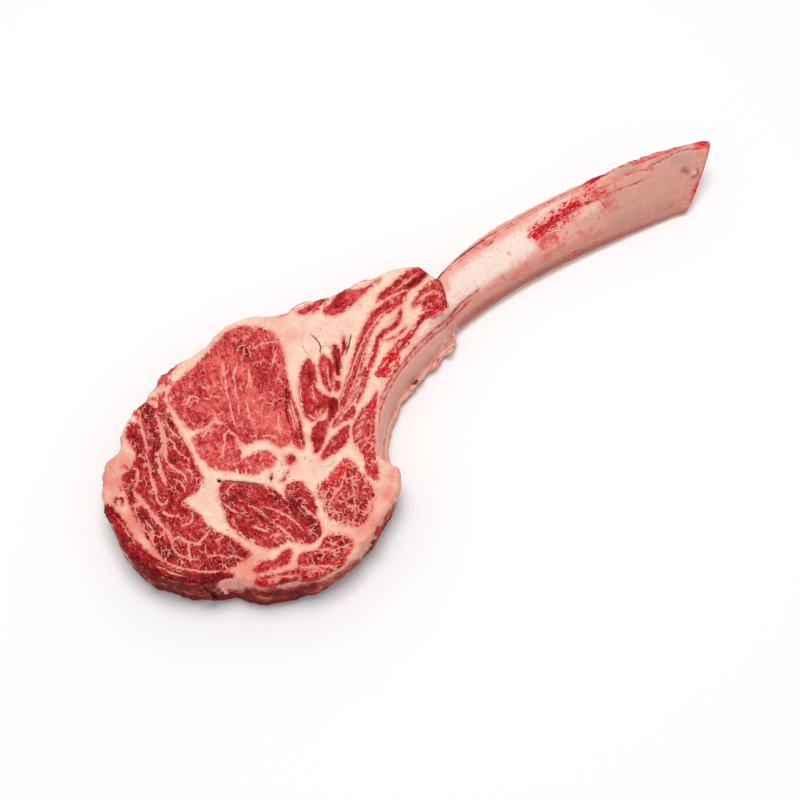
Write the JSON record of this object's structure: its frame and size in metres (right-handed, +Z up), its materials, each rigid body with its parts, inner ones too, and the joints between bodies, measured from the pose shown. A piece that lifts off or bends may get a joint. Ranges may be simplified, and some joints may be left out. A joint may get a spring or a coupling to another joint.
{
  "type": "raw tomahawk steak",
  "caption": "Thick raw bone-in rib steak with marbled muscles, fat seams and the whole cleaned rib bone, lying flat on its lower cut face.",
  "frame": {"origin": "middle of the box round the whole steak, on the surface that it lies on", "axes": "+X along the rib bone towards its sawn end, +Z up out of the upper cut face, +Y towards the back of the eye muscle"},
  "size_m": [0.4415, 0.1658, 0.0382],
  "materials": {
    "raw_meat": "moist raw muscle with cream-pink fat, soft sheen",
    "rib_bone": "scraped cream bone with pink membrane, soft sheen"
  },
  "bodies": {
    "root": {"meat": "raw_meat", "rib_bone": "rib_bone"}
  },
  "joints": []
}
